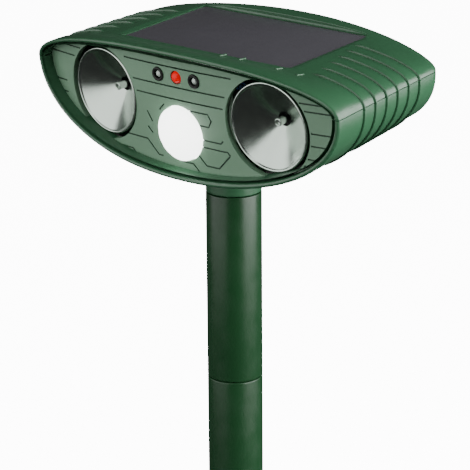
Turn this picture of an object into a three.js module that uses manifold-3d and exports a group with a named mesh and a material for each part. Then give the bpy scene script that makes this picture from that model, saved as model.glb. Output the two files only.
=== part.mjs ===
// A solar ultrasonic pest repeller on a push-together garden stake.
// Millimetres, +Z up, front towards -Y. The origin is on the pole's axis at soil level.
import * as THREE from "three";
import { mergeVertices } from "three/addons/utils/BufferGeometryUtils.js";
import Module from "manifold-3d";

const wasm = await Module();
wasm.setup();

// ---------------------------------------------------------------- driving dimensions
const gap = 0.3; // clearance between pieces that meet
const roundSides = 24; // sides of a large turned piece
const smallSides = 12; // sides of a small turned piece
const outlineSides = 36; // corners of the head's outline
const beyond = 100; // reach of a cut that goes past the head

// Head housing, in the head's own frame: its origin is on the pole's axis.
const headWidth = 160;
const headDepth = 81.4; // middle of the front rim to middle of the rear wall
const rimFront = 36.1; // pole's axis to the middle of the front rim
const seamHeight = 10.7; // joint between the two shells, at the rim
const browHeight = 16; // rim's top above the joint
const crownHeight = 10.8; // flat top above the joint, behind the brow
const bellyHeight = 37.1; // rim's bottom below the joint
const browLength = 22; // how far back the brow slopes down to the flat top
const rimBow = 6.6; // how far the rim's ends lie behind its middle
const rearBow = 11.8; // how far the rear wall's ends lie before its middle
const rearRadius = 4.5; // round edge of the rear wall
const sideTaper = 0.033; // half-width lost per millimetre of depth
const floorRise = 0.043; // height lost under the head per millimetre of depth
const seamRise = 0.013; // slope of the joint between the shells
const browPower = 2.26; // superellipse powers of the outline
const crownPower = 4.2;
const rearCrownPower = 2;
const bellyPower = 2.16;
const faceLean = THREE.MathUtils.degToRad(1.5);
const headPitch = THREE.MathUtils.degToRad(5.3); // the head leans nose-down on its upright pole
const rimWall = 2;
const bodyWall = 3.2;

// Front panel and what looks out of it.
const panelRecess = 5.2;
const panelThickness = 2.5;
const sealThickness = 1;
const sealWidth = 1.6;
const hornSpacing = 87;
const hornHeight = 1;
const hornRadius = 18.1;
const hornClearance = 1.6; // open ring round each bezel
const hornSink = 1.6; // bezels behind the panel's surface
const hornToe = THREE.MathUtils.degToRad(4.5);
const bezelWidth = 1.3;
const bezelProud = 0.5;
const bellDepth = 10.5;
const throatRadius = 2.9;
const bellWall = 1.2;
const hornEarReach = 4.2; // fixing ears, beyond the bezel
const hornEarWidth = 8;
const hornEarThickness = 1.6;
const hornEarRoom = 0.5; // behind the panel
const driverRadius = 11;
const driverThickness = 7;
const plugRadius = 1.6;
const plugTip = 6; // depth of the plug's tip behind the bezel
const lensHeight = -8.2;
const lensRadius = 11;
const lensProud = 1.5; // straight part before the dome
const lensRise = 5;
const lensWall = 0.9;
const lensFlange = 2;
const sensorRadius = 4.6;
const sensorLength = 4.4;
const ledHeight = 14.6;
const ledPitch = 9.5;
const indicatorRadius = 2.5;
const flashRadius = 1.5;
const bushRadius = 2.85;
const ledProud = 1.2;
const bushProud = 0.6;

// Solar panel.
const solarWidth = 87.2;
const solarLength = 48.2;
const solarFront = -15.6;
const solarTop = 20.5;
const solarThickness = 2.2;
const padThickness = 0.8;
const pocketFloor = 1.8;
const pocketRim = 3; // width of the pocket's walls, inside the shell

// Electronics.
const boardThickness = 1.6;
const mainBoard = { width: 76, front: -4, back: 33, bottom: 6.5 };
const pegRadius = 2;
const pegInset = 4; // from the board's edges
const sensorBoard = { width: 40, bottom: -16, top: 18, front: -21.3 };
const coilRadius = 4.5;
const coilBore = 1.6;
const coilHeight = 5;
const coilPlace = { x: 20, y: 4 };
const chip = { half: 6, front: 15, back: 23, thickness: 1.8 };
const capacitor = { radius: 3, height: 5.5, x: 22, y: 22 };

// Battery.
const cellRadius = 9.2;
const cellLength = 65.2;
const cellBack = 22; // cell's axis behind the pole's axis
const cellNub = { radius: 3, length: 1 };
const contactRoom = 2.4;
const contactRadii = { positive: 4, negative: 5 };
const holderWall = 1.2;
const holderClearance = 1; // between the holder and the housing's floor and pole socket

// Battery door.
const doorLength = 17; // front to back
const doorThickness = 2.6;
const doorEarRadius = 4.4;
const doorEarRoom = 1; // between each ear and the block above it
const doorBlockHeight = 7; // above the ear's top
const doorBlockLength = 13;
const doorScrewLength = 5.5;

// Control bay in the rear wall.
const bayWidth = 48;
const bayBottom = -14;
const bayTop = 3;
const bayDepth = 4.1; // behind the middle of the rear wall
const bayWall = 2.4;
const controlBoardSize = { width: 46, bottom: -12.5, top: 2 };
const knobSpacing = 33;
const knobHeight = -5.5;
const knobRadius = 5.4;
const knobLength = 4.2;
const knobStem = 3;
const potSize = 9.6;
const potDepth = 3.4;
const gripWidth = 2;
const gripHeight = 1.4;
const switchHeight = -0.8;
const switchTravel = 3;
const sliderWidth = 4.5; // with its clearance
const slotHeight = 3;
const switchBody = { half: 4.2, halfHeight: 1.8 };
const usbHeight = -9.5;
const usbWidth = 8.8;
const usbThickness = 3;
const usbShell = 0.6;
const coverThickness = 1.4;

// Fasteners.
const screwRadius = 1.3;
const screwHead = 2.6;
const screwHeadHeight = 1.8;
const screwLength = 12; // seat to tip
const pilotClearance = 0.2;
const screwGrip = 3.6; // how far the tip reaches above the joint
const postRadius = 4.2;
const postInset = 14.5; // posts stand this far in from the head's sides
const postFront = -6;
const postRear = 25;

// Stake.
const poleRadius = 11.35;
const tubeWall = 1.8;
const tubeLength = 78.8;
const socketDrop = 40.5; // head's origin to the lower end of its pole socket
const spigotLength = 27;
const socketFloor = 2;
const jointLength = 16;
const collarRadius = 16;
const collarHeight = 4;
const tubeEdge = 0.4; // bevel of the tubes' ends
const spikeLength = 115;
const spikeShoulder = 9.2; // full width down to this depth
const spikePoint = 4;
const spikeTopWidth = 20;
const spikeTipWidth = 2.4;
const ribThickness = 2.6;

// ---------------------------------------------------------------- materials
function plastic(color, roughness) {
  return new THREE.MeshStandardMaterial({ color, roughness, metalness: 0 });
}

function metal(color, roughness) {
  return new THREE.MeshStandardMaterial({ color, roughness, metalness: 1 });
}

const housingGreen = plastic(0x1f5a3a, 0.4);
const panelGreen = plastic(0x6f8a74, 0.5);
const poleGreen = plastic(0x17492a, 0.25);
const blackPlastic = plastic(0x141614, 0.5);
const bellSilver = metal(0xb4b8b4, 0.25);
const solarGlass = plastic(0x3a3a42, 0.2);
const lensWhite = plastic(0xf4f8f4, 0.35);
const clearPlastic = plastic(0xd8dcd6, 0.15);
const redPlastic = plastic(0xe01810, 0.2);
const boardGreen = plastic(0x1c5c34, 0.5);
const rubber = plastic(0x1c1e1c, 0.8);
const steel = metal(0xc0c0c0, 0.3);
const copper = metal(0xb87333, 0.35);
const cellWrap = plastic(0x2a5f9a, 0.4);

// ---------------------------------------------------------------- solids
// A closed geometry as a solid that can be joined and cut.
function solid(geometry) {
  const bare = geometry.clone();
  bare.deleteAttribute("normal");
  bare.deleteAttribute("uv");
  const merged = mergeVertices(bare, 1e-4);
  return new wasm.Manifold(
    new wasm.Mesh({
      numProp: 3,
      vertProperties: new Float32Array(merged.attributes.position.array),
      triVerts: new Uint32Array(merged.index.array),
    }),
  );
}

// A solid as a geometry that a mesh can show.
function geometryOf(made) {
  const { vertProperties, triVerts } = made.getMesh();
  const geometry = new THREE.BufferGeometry();
  geometry.setAttribute("position", new THREE.BufferAttribute(vertProperties, 3));
  geometry.setIndex(new THREE.BufferAttribute(triVerts, 1));
  const flat = geometry.toNonIndexed();
  flat.computeVertexNormals();
  return flat;
}

function box([x0, x1], [y0, y1], [z0, z1]) {
  const geometry = new THREE.BoxGeometry(x1 - x0, y1 - y0, z1 - z0);
  geometry.translate((x0 + x1) / 2, (y0 + y1) / 2, (z0 + z1) / 2);
  return geometry;
}

// A profile of [radius, height] points, from axis to axis or closed on itself, turned about Z.
function turned(profile, sides = roundSides) {
  const points = profile.map(([radius, height]) => new THREE.Vector2(radius, height));
  return new THREE.LatheGeometry(points, sides).rotateX(Math.PI / 2);
}

function rod(radius, low, high, sides = smallSides) {
  return turned([[0, low], [radius, low], [radius, high], [0, high]], sides);
}

function tube(outer, inner, low, high, sides = roundSides) {
  const profile = [[inner, low], [outer, low], [outer, high], [inner, high], [inner, low]];
  return turned(profile, sides);
}

// A closed skin over rings of equal length, with a fan over the first ring and the last.
function loft(rings) {
  const sides = rings[0].length;
  const points = rings.flat();
  const middle = (ring) =>
    ring.reduce((sum, point) => sum.add(point), new THREE.Vector3()).divideScalar(sides);
  const first = points.push(middle(rings[0])) - 1;
  const last = points.push(middle(rings[rings.length - 1])) - 1;
  const faces = [];
  for (let i = 0; i < sides; i++) {
    const next = (i + 1) % sides;
    const end = (rings.length - 1) * sides;
    faces.push(first, i, next, last, end + next, end + i);
    for (let start = 0; start < end; start += sides) {
      faces.push(start + i, start + sides + next, start + next);
      faces.push(start + i, start + sides + i, start + sides + next);
    }
  }
  const geometry = new THREE.BufferGeometry().setFromPoints(points);
  geometry.setIndex(faces);
  return geometry;
}

function joined(...parts) {
  return parts.reduce((whole, part) => whole.add(part));
}

// ---------------------------------------------------------------- the head's form
const blend = (t) => THREE.MathUtils.smoothstep(t, 0, 1);

// Front surface of the rim: bowed back to the sides and leaning a little down.
function rimY(x, z) {
  return -rimFront + rimBow * (2 * x / headWidth) ** 2 - z * Math.tan(faceLean);
}

function rearY(x) {
  return headDepth - rimFront - rearBow * (2 * x / headWidth) ** 2;
}

const seamAt = (depth) => seamHeight + seamRise * depth;
const seamAtY = (y) => seamAt(y + rimFront);

// Sizes of the head's outline at a depth behind the rim, drawn in by an inset.
const halfWidthAt = (depth, inset) => headWidth / 2 - sideTaper * depth - inset;
const bottomAt = (depth, inset) => bellyHeight - floorRise * depth - inset;

// Height of the head's floor at a place, drawn in by an inset.
function floorAt(x, y, inset) {
  const depth = y + rimFront;
  const across = Math.abs(x) / halfWidthAt(depth, inset);
  return seamAt(depth) - bottomAt(depth, inset) * (1 - across ** bellyPower) ** (1 / bellyPower);
}

// One [x, z] outline of the head at a depth behind the rim, drawn in by an inset.
function outline(depth, inset) {
  const behind = Math.max(depth, 0);
  const brow = blend(behind / browLength);
  const rear = Math.max(behind - browLength, 0) / (headDepth - browLength);
  const flatPower = THREE.MathUtils.lerp(crownPower, rearCrownPower, rear);
  const topPower = THREE.MathUtils.lerp(browPower, flatPower, brow);
  const top = THREE.MathUtils.lerp(browHeight, crownHeight, brow) - inset;
  const bottom = bottomAt(behind, inset);
  const half = halfWidthAt(behind, inset);
  const points = [];
  for (let i = 0; i < outlineSides; i++) {
    const angle = (2 * Math.PI * i) / outlineSides;
    const across = Math.cos(angle);
    const up = Math.sin(angle);
    const sidePower = up >= 0 ? topPower : bellyPower;
    const height = up >= 0 ? top : bottom;
    const x = Math.sign(across) * half * Math.abs(across) ** (2 / sidePower);
    const roundness = up >= 0 ? 1 : 2 / bellyPower;
    const z = seamAt(behind) + Math.sign(up) * height * Math.abs(up) ** roundness;
    points.push([x, z]);
  }
  return points;
}

function drawnIn(points, share, centre) {
  return points.map(([x, z]) => [x * share, centre + (z - centre) * share]);
}

// Rings of the head's form: shares of the way to the rear edge, turns round that edge, and how
// far in the flat ends have their inner ring.
const bodyShares = [0.07, 0.14, 0.21, 0.28, 0.6, 1];
const edgeTurns = [35, 90];
const capShare = 0.5;

// The head's outer form drawn in by an inset, from a depth behind the rim to its rear wall.
function headBlock(inset, frontDepth = 0) {
  const behind = Math.max(frontDepth, 0);
  const front = outline(behind, inset);
  const frontRing = (points) =>
    points.map(([x, z]) => new THREE.Vector3(x, rimY(x, z) + frontDepth, z));
  const rings = [frontRing(drawnIn(front, capShare, seamAt(behind))), frontRing(front)];
  const radius = Math.max(rearRadius - inset, 1);
  for (const share of bodyShares) {
    const depth = THREE.MathUtils.lerp(frontDepth, headDepth, share);
    if (depth <= 0) continue;
    const ring = outline(depth, inset).map(([x, z]) => {
      const y = THREE.MathUtils.lerp(rimY(x, z) + frontDepth, rearY(x) - inset - radius, share);
      return new THREE.Vector3(x, y, z);
    });
    rings.push(ring);
  }
  const rearRing = (points, behindEdge) =>
    points.map(([x, z]) => new THREE.Vector3(x, rearY(x) - inset - behindEdge, z));
  for (const turn of edgeTurns) {
    const angle = THREE.MathUtils.degToRad(turn);
    const edge = outline(headDepth, inset + radius * (1 - Math.cos(angle)));
    rings.push(rearRing(edge, radius * (1 - Math.sin(angle))));
  }
  const rear = outline(headDepth, inset + radius);
  rings.push(rearRing(drawnIn(rear, capShare, seamAt(headDepth)), 0));
  return solid(loft(rings));
}

// A broad slab that follows the bow of the rim, between two depths behind it.
function bowedSlab(frontDepth, backDepth) {
  const half = headWidth * 0.6;
  const steps = 12;
  const bow = (depth) =>
    Array.from({ length: steps + 1 }, (_, i) => {
      const x = THREE.MathUtils.lerp(-half, half, i / steps);
      return new THREE.Vector2(x, rimY(x, 0) + depth);
    });
  const shape = new THREE.Shape([...bow(frontDepth), ...bow(backDepth).reverse()]);
  const tall = 2 * bellyHeight;
  const slab = new THREE.ExtrudeGeometry(shape, { depth: 2 * tall, bevelEnabled: false });
  slab.translate(0, 0, -tall);
  const lean = new THREE.Matrix4().makeShear(0, 0, 0, 0, 0, -Math.tan(faceLean));
  return solid(slab.applyMatrix4(lean));
}

// Everything above, or below, the joint between the shells.
function halfSpace(above) {
  const reach = headWidth * 2;
  const height = above ? [0, reach] : [-reach, -gap];
  const geometry = box([-reach, reach], [-reach, reach], height);
  geometry.rotateX(Math.atan(seamRise)).translate(0, -rimFront, seamHeight);
  return solid(geometry);
}

// ---------------------------------------------------------------- places on the face
// A frame whose +Z points out of the front panel at a place on it.
function facePlace(x, z, turn = 0) {
  const out = new THREE.Vector3(
    Math.sin(turn) * Math.cos(faceLean),
    -Math.cos(turn) * Math.cos(faceLean),
    -Math.sin(faceLean),
  );
  const across = new THREE.Vector3(0, 0, 1).cross(out).normalize();
  const up = out.clone().cross(across);
  const frame = new THREE.Matrix4().makeBasis(across, up, out);
  return frame.setPosition(x, rimY(x, z) + panelRecess, z);
}

const sides = { left: -1, right: 1 };
const bothSides = Object.values(sides);
const hornPlace = (side) =>
  facePlace((side * hornSpacing) / 2, hornHeight, side * hornToe).multiply(
    new THREE.Matrix4().makeTranslation(0, 0, -hornSink),
  );
const lensPlace = facePlace(0, lensHeight);
const ledPlace = (index) => facePlace(index * ledPitch, ledHeight);
const at = (geometry, place) => solid(geometry.clone().applyMatrix4(place));

// ---------------------------------------------------------------- front panel
function frontPanel() {
  const depth = panelRecess + panelThickness;
  let panel = headBlock(rimWall + gap).intersect(bowedSlab(panelRecess, depth));
  const reach = 12;
  for (const side of bothSides)
    panel = panel.subtract(
      at(rod(hornRadius + hornClearance, -reach, reach, roundSides), hornPlace(side)),
    );
  panel = panel.subtract(at(rod(lensRadius + gap, -reach, reach, roundSides), lensPlace));
  panel = panel.subtract(at(rod(indicatorRadius + gap, -reach, reach), ledPlace(0)));
  for (const index of [-1, 1])
    panel = panel.subtract(at(rod(bushRadius + gap, -reach, reach), ledPlace(index)));
  return panel;
}

function frontSeal() {
  const front = panelRecess + panelThickness + gap;
  const back = front + sealThickness;
  const ring = headBlock(rimWall + gap).subtract(headBlock(rimWall + gap + sealWidth, -1));
  return bothSides.reduce(
    (seal, side) => seal.subtract(at(rod(hornRadius - gap, -back, 0, roundSides), hornPlace(side))),
    ring.intersect(bowedSlab(front, back)),
  );
}

// Horn: convex bezel, straight-sided bell and two fixing ears behind the panel.
const earFront = hornSink - (panelThickness + 2 * gap + hornEarRoom);
const cupFront = -(bellDepth + bellWall);

function horn() {
  const mouth = hornRadius - bezelWidth;
  const body = hornRadius - 0.5;
  const outside = turned([
    [0, cupFront],
    [throatRadius + bellWall + 1.5, cupFront],
    [body - 0.5, earFront - hornEarThickness],
    [body, -1],
    [hornRadius, 0],
    [hornRadius - 0.4, bezelProud],
    [0, bezelProud],
  ]);
  const bell = turned([
    [0, cupFront - 1],
    [throatRadius, cupFront - 1],
    [throatRadius, bezelProud - bellDepth],
    [mouth - 0.5, 0],
    [mouth, bezelProud + 0.1],
    [0, bezelProud + 0.1],
  ]);
  const reach = hornRadius + hornEarReach;
  const half = hornEarWidth / 2;
  const ears = box([-reach, reach], [-half, half], [earFront - hornEarThickness, earFront]);
  return joined(solid(outside), solid(ears)).subtract(solid(bell));
}

function phasePlug() {
  const tip = bezelProud - plugTip;
  return turned([
    [0, tip - 0.8],
    [plugRadius - 0.6, tip - 0.5],
    [plugRadius - 0.2, tip],
    [plugRadius, tip - 0.4],
    [plugRadius, cupFront + gap],
    [0, cupFront + gap],
  ].reverse(), smallSides);
}

function piezoDriver() {
  const front = cupFront - gap;
  return turned([
    [0, front - 0.8],
    [throatRadius, front - 0.8],
    [throatRadius + bellWall, front],
    [driverRadius - 2, front],
    [driverRadius, front - 1.5],
    [driverRadius, front - driverThickness],
    [0, front - driverThickness],
  ].reverse(), 28);
}

// Motion sensor lens: a thin dome with a flange behind the panel.
const lensFlangeFront = -(panelThickness + gap);

function dome(radius, rise, steps) {
  const ball = (radius ** 2 + rise ** 2) / (2 * rise);
  const points = [];
  for (let i = 0; i <= steps; i++) {
    const angle = (Math.asin(radius / ball) * i) / steps;
    points.push([ball * Math.sin(angle), rise - ball * (1 - Math.cos(angle))]);
  }
  return points;
}

function motionLens() {
  const ahead = ([radius, height]) => [radius, height + lensProud];
  const outer = dome(lensRadius, lensRise, 5).map(ahead);
  const inner = dome(lensRadius - lensWall, lensRise - lensWall, 4).map(ahead).reverse();
  const back = lensFlangeFront - 1;
  const profile = [
    ...outer,
    [lensRadius, lensFlangeFront],
    [lensRadius + lensFlange, lensFlangeFront],
    [lensRadius + lensFlange, back],
    [lensRadius - lensWall, back],
    ...inner,
  ];
  return turned(profile.reverse(), 32);
}

function lensRetainer() {
  const front = lensFlangeFront - 1 - gap;
  return tube(lensRadius + lensFlange, lensRadius - lensWall, front - 1.5, front, 32);
}

// The sensor and the lamps stand on one upright board behind the panel.
function motionSensor() {
  const can = rod(sensorRadius, 0, sensorLength).rotateX(Math.PI / 2);
  return can.translate(0, sensorBoard.front - gap, lensHeight);
}

// How far behind the panel's surface the sensor board lies, at the lamps' height.
const lampRoom = sensorBoard.front - (rimY(0, ledHeight) + panelRecess) - 2 * gap;

function lamp(radius) {
  const skirt = ledProud - radius;
  const round = [0, 30, 60, 90].map((degrees) => {
    const angle = THREE.MathUtils.degToRad(degrees);
    return [radius * Math.sin(angle), skirt + radius * Math.cos(angle)];
  });
  const back = -lampRoom;
  return turned([...round, [radius, back], [0, back]].reverse(), smallSides);
}

function lampBush() {
  const bore = flashRadius + gap;
  const back = lensFlangeFront - 1;
  return turned([
    [bore, bushProud],
    [bushRadius, bushProud],
    [bushRadius, lensFlangeFront],
    [bushRadius + 1, lensFlangeFront],
    [bushRadius + 1, back],
    [bore, back],
    [bore, bushProud],
  ].reverse(), smallSides);
}

// ---------------------------------------------------------------- shells
const outerForm = headBlock(0);

// The hollow: a wide pocket for the front panel, then the room behind its ledge.
const ledgeDepth = panelRecess + panelThickness + sealThickness + 2 * gap;

function hollow() {
  const pocket = headBlock(rimWall, -3).intersect(bowedSlab(-10, ledgeDepth));
  return pocket.add(headBlock(bodyWall, ledgeDepth - 1));
}

const shell = outerForm.subtract(hollow());

// Where the housing screws stand.
const postPlaces = [];
for (const [sideName, side] of Object.entries(sides))
  for (const [endName, y] of Object.entries({ front: postFront, rear: postRear })) {
    const x = side * (headWidth / 2 - postInset);
    postPlaces.push({ x, y, name: `${sideName}_${endName}` });
  }

const screwSeat = (y) => seamAtY(y) + screwGrip - screwLength;

// An upright rod at a place in the head.
function uprightRod({ x, y }, radius, low, high, rodSides = smallSides) {
  return solid(rod(radius, low, high, rodSides).translate(x, y, 0));
}

const insideSkin = headBlock(bodyWall / 2);
const pocketX = solarWidth / 2 + gap;
const pocketY = [solarFront - gap, solarFront + solarLength + gap];
const pocketBottom = solarTop - solarThickness - padThickness - 2 * gap;
const boardTop = mainBoard.bottom + boardThickness;

// Pegs that press the main board down, in from its corners.
function boardPegs() {
  const pegs = [];
  for (const side of bothSides)
    for (const y of [mainBoard.front + pegInset, mainBoard.back - pegInset]) {
      const place = { x: side * (mainBoard.width / 2 - pegInset), y };
      pegs.push(uprightRod(place, pegRadius, boardTop + gap, pocketBottom - gap));
    }
  return pegs;
}

function upperHousing() {
  const walls = box(
    [-pocketX - pocketRim, pocketX + pocketRim],
    [pocketY[0] - pocketRim, pocketY[1] + pocketRim],
    [pocketBottom - pocketFloor, solarTop],
  );
  let body = shell.intersect(halfSpace(true)).add(solid(walls).intersect(insideSkin));
  for (const place of postPlaces) {
    const post = uprightRod(place, postRadius - 1, seamAtY(place.y) + gap / 2, beyond);
    body = body.add(post.intersect(insideSkin));
  }
  body = joined(body, ...boardPegs());
  for (const place of postPlaces) {
    const pilotTop = seamAtY(place.y) + screwGrip + gap;
    body = body.subtract(uprightRod(place, screwRadius + pilotClearance, 0, pilotTop));
  }
  return body.subtract(solid(box([-pocketX, pocketX], pocketY, [pocketBottom, beyond])));
}

// Battery, door and what they stand in. The holder stands clear of the floor at its rear corners.
const cellRoom = cellLength / 2 + contactRoom;
const holderHalf = cellRoom + holderWall;
const holderReach = cellRadius + gap + holderWall;
const holderBottom = floorAt(holderHalf, cellBack + holderReach, bodyWall) + holderClearance;
const cellHeight = holderBottom + holderReach;
const earX = holderHalf + gap + doorEarRadius;
const doorEarTop = floorAt(earX + doorEarRadius, cellBack, doorThickness);
const doorBlockTop = doorEarTop + doorBlockHeight;
const doorScrewSeat = doorEarTop - screwHeadHeight + doorEarRoom / 2;

// The door's outline: a plate with an ear and a screw at each end, grown by a clearance.
function doorPatch(grow, top) {
  const halfX = holderHalf + doorEarRadius / 2 + grow;
  const halfY = doorLength / 2 + grow;
  const plate = box([-halfX, halfX], [cellBack - halfY, cellBack + halfY], [-beyond, top]);
  const ears = bothSides.map((side) => doorRod(side, doorEarRadius + grow, top));
  return joined(solid(plate), ...ears);
}

// A rod up to a height on the axis of a door screw.
function doorRod(side, radius, top) {
  return uprightRod({ x: side * earX, y: cellBack }, radius, -beyond, top);
}

function batteryDoor() {
  const skin = outerForm.subtract(headBlock(doorThickness, ledgeDepth - 1));
  let door = skin.intersect(doorPatch(0, 0));
  for (const side of bothSides)
    door = door.add(doorRod(side, doorEarRadius, doorEarTop).intersect(insideSkin));
  for (const side of bothSides) {
    door = door.subtract(doorRod(side, screwRadius + gap, 0));
    door = door.subtract(doorRod(side, screwHead + gap, doorScrewSeat));
  }
  return door;
}

const socketTop = spigotLength - socketDrop + gap + socketFloor;
const upright = (geometry) => geometry.rotateX(-headPitch);

function poleSocket() {
  return solid(upright(rod(poleRadius, -socketDrop, socketTop, roundSides)));
}

function poleBore() {
  const top = socketTop - socketFloor;
  return solid(upright(rod(poleRadius - tubeWall, -beyond, top, roundSides)));
}

// Control bay: its floor lies a set depth before the middle of the rear wall.
const bayX = bayWidth / 2;
const bayFloor = headDepth - rimFront - bayDepth;

// A block inside the shell that the bay is cut from.
function bayBacking() {
  const backing = box(
    [-bayX - bayWall, bayX + bayWall],
    [bayFloor - bayWall, beyond],
    [bayBottom - bayWall, bayTop + bayWall],
  );
  return solid(backing).intersect(insideSkin);
}

// A block over one of the door's ears, for its screw.
function doorBlock(side) {
  const near = holderHalf + holderClearance;
  const across = [side * near, side * (near + doorBlockLength)].sort((a, b) => a - b);
  const width = doorEarRadius + holderClearance;
  const block = box(across, [cellBack - width, cellBack + width], [-beyond, doorBlockTop]);
  return solid(block).intersect(insideSkin);
}

function lowerHousing() {
  let body = joined(shell, bayBacking(), ...bothSides.map(doorBlock));
  for (const place of postPlaces)
    body = body.add(uprightRod(place, postRadius, -beyond, beyond, roundSides).intersect(insideSkin));
  body = body.intersect(halfSpace(false));
  body = body.subtract(doorPatch(gap, doorEarTop + doorEarRoom)).add(poleSocket());
  for (const place of postPlaces) {
    const seat = screwSeat(place.y);
    body = body.subtract(uprightRod(place, screwHead + gap, -beyond, seat, roundSides));
    body = body.subtract(uprightRod(place, screwRadius + gap, -beyond, beyond));
  }
  for (const side of bothSides) {
    body = body.subtract(doorRod(side, screwRadius + pilotClearance, doorBlockTop - doorEarRoom));
    const stem = rod(knobStem + gap, 0, beyond).rotateX(-Math.PI / 2);
    body = body.subtract(solid(stem.translate((side * knobSpacing) / 2, 0, knobHeight)));
  }
  const bay = box([-bayX, bayX], [bayFloor, beyond], [bayBottom, bayTop]);
  return [solid(bay), poleBore(), switchSlot(), usbSlot()].reduce(
    (rest, opening) => rest.subtract(opening),
    body,
  );
}

// ---------------------------------------------------------------- rear controls
const potBack = bayFloor - bayWall - gap;
const controlBoardY = potBack - potDepth - gap;

// An opening through the bay's floor.
function baySlot(halfX, height, halfZ) {
  const depth = [bayFloor - bayWall - 1, bayFloor + 1];
  return solid(box([-halfX, halfX], depth, [height - halfZ, height + halfZ]));
}

const switchSlot = () => baySlot((sliderWidth + switchTravel) / 2, switchHeight, slotHeight / 2);
const usbSlot = () => baySlot(usbWidth / 2 + gap + 0.1, usbHeight, usbThickness / 2 + gap + 0.1);

// Knob with a finger grip across its face and a pointer groove in the grip.
function knob() {
  const dial = turned([
    [0, -bayWall],
    [knobStem, -bayWall],
    [knobStem, gap],
    [knobRadius, gap],
    [knobRadius, knobLength - 0.8],
    [knobRadius - 0.8, knobLength],
    [0, knobLength],
  ], roundSides);
  const reach = knobRadius - 0.6;
  const top = knobLength + gripHeight;
  const grip = box([-gripWidth / 2, gripWidth / 2], [-reach, reach], [knobLength - 0.5, top]);
  const pointer = box([-0.4, 0.4], [1.5, knobRadius - 1], [top - 0.4, top + 1]);
  return joined(solid(dial), solid(grip)).subtract(solid(pointer));
}

// Slide switch's button at the left end of its travel, with a thumb rib.
function switchSlider() {
  const middle = -switchTravel / 2;
  const half = sliderWidth / 2 - gap;
  const height = [switchHeight - slotHeight / 2 + gap, switchHeight + slotHeight / 2 - gap];
  const face = bayFloor + 1.6;
  const back = bayFloor - bayWall - 0.6;
  const stem = box([middle - half, middle + half], [back, face], height);
  const rib = box([middle - 0.5, middle + 0.5], [face - 0.2, face + 0.7], height);
  return joined(solid(stem), solid(rib));
}

// ---------------------------------------------------------------- stake
function tubeWithSpigot(length, spigot) {
  const bore = poleRadius - tubeWall;
  const neck = bore - gap;
  const boreEnd = jointLength + 4;
  return turned([
    [neck - tubeWall, boreEnd],
    [bore, jointLength + 2],
    [bore, 0],
    [poleRadius - tubeEdge, 0],
    [poleRadius, tubeEdge],
    [poleRadius, length - tubeEdge],
    [poleRadius - tubeEdge, length],
    [neck, length],
    [neck, length + spigot - 1],
    [neck - 1, length + spigot],
    [neck - tubeWall, length + spigot],
    [neck - tubeWall, boreEnd],
  ]);
}

function groundSpike() {
  const neck = poleRadius - tubeWall - gap;
  const top = turned([
    [0, 0],
    [collarRadius - 1, 0],
    [collarRadius, 1],
    [collarRadius, collarHeight - 1],
    [collarRadius - 1, collarHeight],
    [neck, collarHeight],
    [neck, collarHeight + jointLength - 1],
    [neck - 1, collarHeight + jointLength],
    [0, collarHeight + jointLength],
  ]);
  const edge = [
    [spikeTipWidth / 2, spikePoint - spikeLength],
    [spikeTopWidth / 2, -spikeShoulder],
    [spikeTopWidth / 2, 1],
  ];
  const left = edge.map(([x, z]) => [-x, z]).reverse();
  const corners = [[0, -spikeLength], ...edge, ...left].map(([x, z]) => new THREE.Vector2(x, z));
  const shape = new THREE.Shape(corners);
  const rib = new THREE.ExtrudeGeometry(shape, { depth: ribThickness, bevelEnabled: false });
  rib.translate(0, 0, -ribThickness / 2).rotateX(Math.PI / 2);
  const crossRib = rib.clone().rotateZ(Math.PI / 2);
  return joined(solid(top), solid(rib), solid(crossRib));
}

// ---------------------------------------------------------------- assembly
const model = new THREE.Group();
const head = new THREE.Group();
const headHeight = collarHeight + 2 * tubeLength + 3 * gap + socketDrop;
head.position.z = headHeight;
head.rotation.x = headPitch;
model.add(head);

function piece(name, made, material, group = head) {
  const geometry = made.isBufferGeometry ? made : geometryOf(made);
  const mesh = new THREE.Mesh(geometry, material);
  mesh.name = name;
  group.add(mesh);
  return mesh;
}

function pieceAt(place, name, made, material) {
  const mesh = piece(name, made, material);
  place.decompose(mesh.position, mesh.quaternion, mesh.scale);
  return mesh;
}

// Stake.
piece("ground_spike", groundSpike(), poleGreen, model);
const lowerTube = piece("lower_tube", tubeWithSpigot(tubeLength, jointLength), poleGreen, model);
lowerTube.position.z = collarHeight + gap;
const upperTube = piece("upper_tube", tubeWithSpigot(tubeLength, spigotLength), poleGreen, model);
upperTube.position.z = collarHeight + 2 * gap + tubeLength;

// Shells and front.
piece("lower_housing", lowerHousing(), housingGreen);
piece("upper_housing", upperHousing(), housingGreen);
piece("front_panel", frontPanel(), panelGreen);
piece("front_seal", frontSeal(), rubber);
for (const [name, side] of Object.entries(sides)) {
  pieceAt(hornPlace(side), `${name}_horn`, horn(), bellSilver);
  pieceAt(hornPlace(side), `${name}_phase_plug`, phasePlug(), bellSilver);
  pieceAt(hornPlace(side), `${name}_piezo_driver`, piezoDriver(), blackPlastic);
  pieceAt(ledPlace(side), `${name}_flash_lamp`, lamp(flashRadius), clearPlastic);
  pieceAt(ledPlace(side), `${name}_lamp_bush`, lampBush(), blackPlastic);
}
pieceAt(lensPlace, "motion_lens", motionLens(), lensWhite);
pieceAt(lensPlace, "lens_retainer", lensRetainer(), blackPlastic);
pieceAt(ledPlace(0), "indicator_lamp", lamp(indicatorRadius), redPlastic);
piece("motion_sensor", motionSensor(), steel);
piece(
  "sensor_board",
  box(
    [-sensorBoard.width / 2, sensorBoard.width / 2],
    [sensorBoard.front, sensorBoard.front + boardThickness],
    [sensorBoard.bottom, sensorBoard.top],
  ),
  boardGreen,
);

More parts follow.
